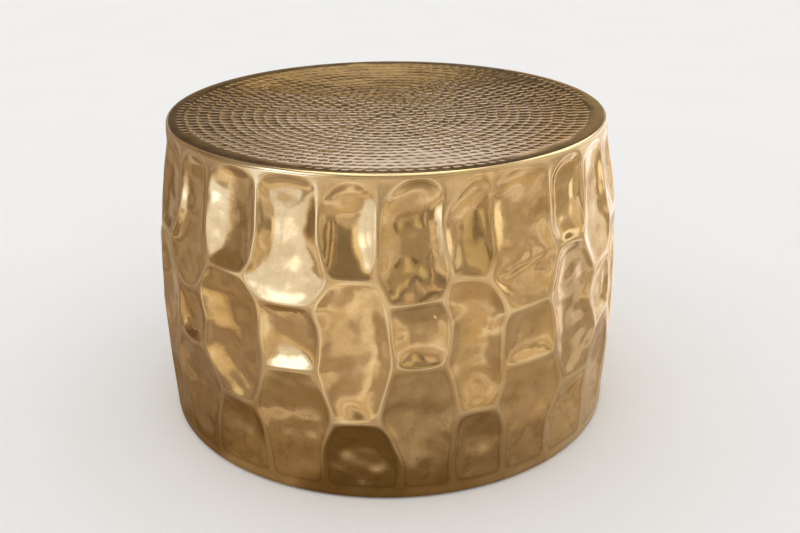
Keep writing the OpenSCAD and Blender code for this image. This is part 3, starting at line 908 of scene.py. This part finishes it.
def soft_box(nt, u, v, lo_u, hi_u, lo_v, hi_v, su, sv):
    """1 inside a rectangle of u and v, fading over su and sv outside it."""
    a = nt.m("MULTIPLY", nt.step(u, lo_u - su, lo_u + su), nt.step(u, hi_u + su, hi_u - su))
    b = nt.m("MULTIPLY", nt.step(v, lo_v - sv, lo_v + sv), nt.step(v, hi_v + sv, hi_v - sv))
    return nt.m("MULTIPLY", a, b)


def direction(nt, vec):
    """Azimuth from the front (-Y) towards +X and elevation, in degrees."""
    s = nt.new("ShaderNodeSeparateXYZ")
    nt.link(vec, s.inputs[0])
    az = nt.m("MULTIPLY", nt.m("ARCTAN2", s.outputs[0], nt.m("MULTIPLY", s.outputs[1], -1.0)), 180 / math.pi)
    el = nt.m("MULTIPLY", nt.m("ARCSINE", s.outputs[2]), 180 / math.pi)
    return az, el, s


def clutter(nt, u, v, w, seed):
    """Soft-edged blocks of light and shade, in steps along u and v."""
    cv = nt.new("ShaderNodeCombineXYZ")
    nt.link(u, cv.inputs[0])
    nt.link(v, cv.inputs[1])
    cv.inputs[2].default_value = seed
    warp = nt.noise(cv.outputs[0], 0.9, 2.0, 0.5, "Color")
    warp = nt.vm("MULTIPLY", nt.vm("SUBTRACT", warp, (0.5, 0.5, 0.5)), (1.1, 1.1, 0.0))
    vor = nt.new("ShaderNodeTexVoronoi", distance="CHEBYCHEV")
    vor.inputs["Scale"].default_value = 1.0
    vor.inputs["Randomness"].default_value = 0.95
    nt.link(nt.vm("ADD", cv.outputs[0], warp), vor.inputs["Vector"])
    s = nt.new("ShaderNodeSeparateColor")
    nt.link(vor.outputs["Color"], s.inputs[0])
    return s.outputs[0], s.outputs[1]


def clutter_tint(nt, pick):
    """A tint for each block, from dark brown to pale cream."""
    r = nt.new("ShaderNodeValToRGB")
    r.color_ramp.interpolation = "CONSTANT"
    tones = [(0.0, (0.42, 0.31, 0.20)), (0.20, (0.84, 0.72, 0.46)), (0.40, (1.12, 1.10, 1.02)),
             (0.56, (0.62, 0.53, 0.45)), (0.72, (0.76, 0.70, 0.50)), (0.86, (1.25, 1.27, 1.34))]
    el = r.color_ramp.elements
    while len(el) < len(tones):
        el.new(0.5)
    for e, (p, c) in zip(el, tones):
        e.position = p
        e.color = (*c, 1.0)
    nt.link(pick, r.inputs[0])
    return r.outputs[0]


# floor that the camera sees: pale and even; metal doesn't mirror it
floor = disc("floor", 30.0, 0.0)
fm, nt = material("floor_pale")
co = nt.new("ShaderNodeTexCoord").outputs["Object"]
b = nt.new("ShaderNodeBsdfPrincipled")
nt.link(nt.mix(nt.noise(co, 3.0, 2.0), (0.86, 0.86, 0.855), (0.89, 0.89, 0.885)), b.inputs["Base Color"])
b.inputs["Roughness"].default_value = 0.9
b.inputs["Specular IOR Level"].default_value = 0.1
geo = nt.new("ShaderNodeNewGeometry").outputs["Backfacing"]
clear = nt.new("ShaderNodeBsdfTransparent")
one_sided = nt.new("ShaderNodeMixShader")
nt.link(geo, one_sided.inputs[0])
nt.link(b.outputs[0], one_sided.inputs[1])
nt.link(clear.outputs[0], one_sided.inputs[2])
finish_material(nt, one_sided.outputs[0])
floor.data.materials.append(fm)
floor.visible_glossy = False

# what the metal mirrors instead: a glowing card painted as a warm studio floor, darker near the table as painted shade
card = disc("floor_card", 30.0, -0.0005)
cmat, nt = material("floor_card")
co = nt.new("ShaderNodeTexCoord").outputs["Object"]
s = nt.new("ShaderNodeSeparateXYZ")
nt.link(co, s.inputs[0])
rad = nt.vm("LENGTH", co)
az = nt.m("MULTIPLY", nt.m("ARCTAN2", s.outputs[0], nt.m("MULTIPLY", s.outputs[1], -1.0)), 180 / math.pi)
close = nt.mix(nt.m("MULTIPLY", nt.step(az, 5.0, 80.0), nt.step(az, 179.0, 150.0)), (0.175, 0.112, 0.055), (0.49, 0.405, 0.31))
col = nt.mix(nt.step(rad, 0.37, 0.56), close, (0.54, 0.445, 0.34))
col = nt.mix(nt.step(rad, 0.60, 1.05), col, (0.80, 0.71, 0.59))
lit = nt.m("MULTIPLY", nt.step(az, 40.0, 90.0), nt.step(az, 150.0, 120.0))
col = nt.mix(nt.m("MULTIPLY", lit, nt.step(rad, 0.34, 0.46)), col, (0.56, 0.49, 0.42))
shade = nt.m("MULTIPLY", nt.step(az, -88.0, -74.0), nt.step(az, -47.0, -58.0))
shadow = nt.mix(nt.step(rad, 0.44, 0.66), (0.30, 0.225, 0.155), (0.46, 0.375, 0.30))
col = nt.mix(nt.m("MULTIPLY", shade, nt.m("MULTIPLY", nt.step(rad, 0.36, 0.40), nt.step(rad, 0.88, 0.76))), col, shadow)
col = nt.mix(soft_box(nt, az, rad, -66, -49, 1.30, 1.90, 3, 0.10), col, (0.42, 0.35, 0.28))
col = nt.mix(soft_box(nt, az, rad, -66, -24, 0.92, 1.24, 4, 0.10), col, (0.88, 0.80, 0.68))
left = nt.m("MULTIPLY", nt.step(az, -68.0, -78.0), nt.step(az, -179.0, -158.0))
col = nt.mix(nt.m("MULTIPLY", left, nt.lin(rad, 0.9, 1.4, 0.5, 0.85)), col, (0.29, 0.22, 0.165))
near_pale = nt.m("MULTIPLY", nt.step(az, 82.0, 91.0), nt.m("MULTIPLY", nt.step(rad, 0.50, 0.58), nt.step(rad, 1.22, 1.08)))
far_pale = nt.m("MULTIPLY", nt.step(az, 100.0, 109.0), nt.m("MULTIPLY", nt.step(rad, 0.36, 0.46), nt.step(az, 178.0, 155.0)))
pale = nt.m("MAXIMUM", near_pale, far_pale)
col = nt.mix(nt.m("MULTIPLY", pale, 0.88), col, (1.24, 1.22, 1.32))
pick, _g = clutter(nt, nt.m("MULTIPLY", az, 1 / 22.0), nt.m("MULTIPLY", nt.m("LOGARITHM", rad, math.e), 4.6), None, 3.0)
tint = nt.mix(nt.step(rad, 0.34, 0.42), (1.0, 1.0, 1.0), clutter_tint(nt, pick))
mul = nt.new("ShaderNodeMix", data_type="RGBA", blend_type="MULTIPLY")
nt.link(nt.lin(rad, 0.36, 0.95, 0.30, 0.74), mul.inputs[0])
nt.link(col, mul.inputs[6])
nt.link(tint, mul.inputs[7])
col = mul.outputs[2]
sill = soft_box(nt, az, rad, -68, -50, 1.95, 60, 3, 0.12)
col = nt.mix(nt.m("MULTIPLY", sill, 0.85), col, (1.00, 1.06, 1.16))
sill = soft_box(nt, az, rad, -50, -36, 1.40, 60, 3, 0.08)
col = nt.mix(nt.m("MULTIPLY", sill, 0.80), col, (1.00, 1.04, 1.10))
near_left = soft_box(nt, az, rad, -46, -23, 0.30, 0.50, 3, 0.03)
col = nt.mix(nt.m("MULTIPLY", near_left, 0.75), col, (0.31, 0.22, 0.12))
# painted shade: darkest patch close in front of the table
well = soft_box(nt, az, rad, -19, 4, 0.30, 0.47, 3, 0.05)
col = nt.mix(nt.m("MULTIPLY", well, 0.85), col, (0.13, 0.085, 0.035))
col = nt.mix(nt.m("MULTIPLY", soft_box(nt, az, rad, 2, 21, 0.48, 1.08, 3, 0.05), 0.78), col, (0.36, 0.28, 0.19))
far_cream = soft_box(nt, az, rad, 73, 87, 3.0, 60, 3, 0.5)
col = nt.mix(nt.m("MULTIPLY", far_cream, 0.85), col, (1.50, 1.38, 1.12))
dim = soft_box(nt, az, rad, -4, 25, 2.7, 60, 3, 0.4)
col = nt.mix(nt.m("MULTIPLY", dim, 0.85), col, (0.34, 0.26, 0.165))
streak = soft_box(nt, az, rad, -19.5, -12.5, 0.62, 1.05, 1.6, 0.06)
col = nt.mix(nt.m("MULTIPLY", streak, 0.8), col, (1.02, 0.94, 0.78))
behind = nt.m("MULTIPLY", nt.step(nt.m("ABSOLUTE", az), 166.0, 173.0), nt.step(rad, 0.5, 1.0))
col = nt.mix(nt.m("MULTIPLY", behind, 0.8), col, (0.60, 0.58, 0.62))
em = nt.new("ShaderNodeEmission")
nt.link(col, em.inputs["Color"])
finish_material(nt, em.outputs[0])
card.data.materials.append(cmat)
for flag in ("visible_camera", "visible_diffuse", "visible_transmission", "visible_volume_scatter", "visible_shadow"):
    setattr(card, flag, False)

# surroundings, as a soft studio: a bright window side on the left, a pale
# backdrop behind and to the right, dim warm walls, a broad light overhead
world = bpy.data.worlds.new("studio")
bpy.context.scene.world = world
world.use_nodes = True
nt = Nodes(world.node_tree)
vec = nt.new("ShaderNodeTexCoord").outputs["Generated"]
az, el, _s = direction(nt, vec)
baz = nt.m("SUBTRACT", 180.0, nt.m("MODULO", nt.m("ADD", az, 360.0), 360.0))   # 0 straight behind the table
nz = nt.step(nt.noise(vec, 3.0, 3.0, 0.5), 0.40, 0.62)
col = nt.mix(nz, (0.92, 0.86, 0.76), (0.72, 0.64, 0.50))
PANELS = [
    # the walls of the room, by direction from the front
    ("az", -190, -68, -90, 60, 2, 6, (0.30, 0.235, 0.185)),
    ("az", -190, -112, -30, 30, 8, 8, (0.33, 0.215, 0.135)),
    ("room", 104, 116, 0, 0, 0, 0, None),
    ("az", -67, -35, -19, 34, 2, 4, (0.98, 1.06, 1.18)),
    ("az", -62, -38, 3, 33, 3, 4, (1.85, 2.02, 2.34)),
    ("az", -62.5, -54, -2, 33, 2, 4, (2.25, 2.42, 2.75)),
    ("az", -51, -49.4, -19, 9, 0.8, 3, (0.78, 0.72, 0.62)),
    ("az", -35, -28, -12, 32, 3, 4, (1.08, 0.97, 0.62)),
    ("az", -28, -4, 0, 40, 3, 3, (0.26, 0.21, 0.14)),
    ("az", -4, 25, -11, 4, 3, 2, (0.40, 0.31, 0.20)),
    ("az", -4, 25, 4, 40, 3, 3, (0.32, 0.25, 0.17)),
    ("az", 3, 7, -8, 20, 1, 2, (0.80, 0.60, 0.42)),
    ("az", 15, 20, -3, 14, 1.5, 2, (0.74, 0.62, 0.36)),
    ("az", -5, 2, -6, 3, 2, 2, (0.18, 0.13, 0.085)),
    ("az", 9, 12, -12, 12, 1.0, 2, (0.13, 0.10, 0.07)),
    ("az", 25, 29, -8, 14, 1.4, 2, (0.17, 0.13, 0.09)),
    ("az", 44, 50, -4, 30, 2.0, 3, (0.34, 0.27, 0.20)),
    ("az", 62, 68, -10, 8, 2.0, 2, (0.36, 0.28, 0.19)),
    ("az", 68, 116, -12, 22, 6, 4, (0.74, 0.60, 0.42)),
    ("az", 92, 98, -12, 16, 2.0, 3, (0.46, 0.36, 0.24)),
    ("az", 73, 84, -6, -0.5, 3, 1.5, (1.30, 1.20, 0.98)),
    ("az", 84, 106, 6.0, 13, 3, 1.5, (1.30, 1.20, 0.98)),
    ("az", 109, 174, -30, 36, 3, 5, (1.20, 1.18, 1.30)),
    # behind the table: what the top mirrors
    ("baz", -15, 30, -40, 10.8, 3, 0.7, (0.50, 0.45, 0.44)),
    ("baz", -5.6, 6.8, -40, 10.8, 2.2, 0.7, (0.92, 0.85, 0.86)),
    ("baz", -3.6, 6.8, 8, 12.9, 1.6, 0.7, (0.84, 0.78, 0.78)),
    ("baz", -40, -9.0, -40, 10.6, 1.4, 0.7, (0.46, 0.40, 0.385)),
    ("baz", 7.6, 30, -40, 10.8, 1.4, 0.7, (0.41, 0.34, 0.27)),
    ("baz", -15, 40, 12.9, 64, 3, 0.8, (0.078, 0.058, 0.040)),
    ("baz", -44, -7, 11.2, 60, 1.0, 0.7, (0.074, 0.056, 0.040)),
    ("baz", 5.0, 20, 13.5, 40, 1.5, 2, (0.088, 0.072, 0.055)),
    ("baz", -7.0, -3.6, 19.5, 23.0, 0.9, 0.6, (0.80, 0.60, 0.31)),
    ("baz", -4.0, 4.8, 19.4, 23.4, 1.6, 0.6, (0.72, 0.58, 0.36)),
    ("baz", 3.6, 12, 21, 24, 2, 1.0, (0.20, 0.16, 0.10)),
    ("baz", -13.0, -3.4, 24.0, 58, 1.5, 1.5, (0.10, 0.075, 0.048)),
    ("baz", -5.0, 5.0, 11.6, 12.9, 0.8, 0.4, (0.40, 0.295, 0.17)),
    ("baz", -13.0, -5.6, 10.4, 12.9, 0.9, 0.5, (0.42, 0.30, 0.15)),
    ("baz", -11.2, -5.0, 12.4, 14.0, 0.8, 0.5, (0.27, 0.20, 0.115)),
    ("baz", 10.6, 16, 11.4, 15.6, 0.7, 0.7, (0.36, 0.285, 0.15)),
    ("baz", 20, 95, 12, 36, 3, 2, (0.30, 0.25, 0.14)),
    ("baz", 6.8, 11, 6.5, 12.8, 0.8, 1.0, (0.86, 0.62, 0.34)),
    # bright cloths that the rolled edge picks up
    ("az", 100, 150, 20, 50, 5, 4, (1.80, 1.68, 1.38)),
]
pick, _g = clutter(nt, nt.m("MULTIPLY", az, 1 / 23.0), nt.m("MULTIPLY", el, 1 / 14.0), None, 1.7)
for kind, a0, a1, e0, e1, sa, se, c in PANELS:
    if kind == "room":
        mul = nt.new("ShaderNodeMix", data_type="RGBA", blend_type="MULTIPLY")
        nt.link(nt.m("MULTIPLY", nt.step(nt.m("ABSOLUTE", az), a1, a0), 0.85), mul.inputs[0])
        nt.link(col, mul.inputs[6])
        nt.link(clutter_tint(nt, pick), mul.inputs[7])
        col = mul.outputs[2]
        continue
    w = soft_box(nt, az if kind == "az" else baz, el, a0, a1, e0, e1, sa, se)
    col = nt.mix(w, col, c)
over = nt.step(el, 61.0, 70.0)
col = nt.mix(over, col, (2.3, 2.15, 1.75))
zenith = nt.mix(nt.step(nt.noise(vec, 14.0, 2.0, 0.5), 0.42, 0.60), (0.46, 0.40, 0.32), (0.80, 0.74, 0.64))
col = nt.mix(nt.step(el, 76.0, 80.0), col, zenith)
lp = nt.new("ShaderNodeLightPath")
bg_mirror = nt.new("ShaderNodeBackground")
nt.link(col, bg_mirror.inputs["Color"])
bg_plain = nt.new("ShaderNodeBackground")
bg_plain.inputs["Color"].default_value = (1.0, 0.995, 0.985, 1.0)
bg_plain.inputs["Strength"].default_value = 1.0
mixs = nt.new("ShaderNodeMixShader")
nt.link(lp.outputs["Is Glossy Ray"], mixs.inputs[0])
nt.link(bg_plain.outputs[0], mixs.inputs[1])
nt.link(bg_mirror.outputs[0], mixs.inputs[2])
out = nt.new("ShaderNodeOutputWorld")
nt.link(mixs.outputs[0], out.inputs["Surface"])

sc = bpy.context.scene
sc.view_settings.view_transform = "Standard"
sc.view_settings.look = "None"
sc.view_settings.exposure = 0.0
sc.cycles.use_denoising = True
sc.cycles.max_bounces = 8
sc.cycles.glossy_bounces = 4
sc.cycles.diffuse_bounces = 2
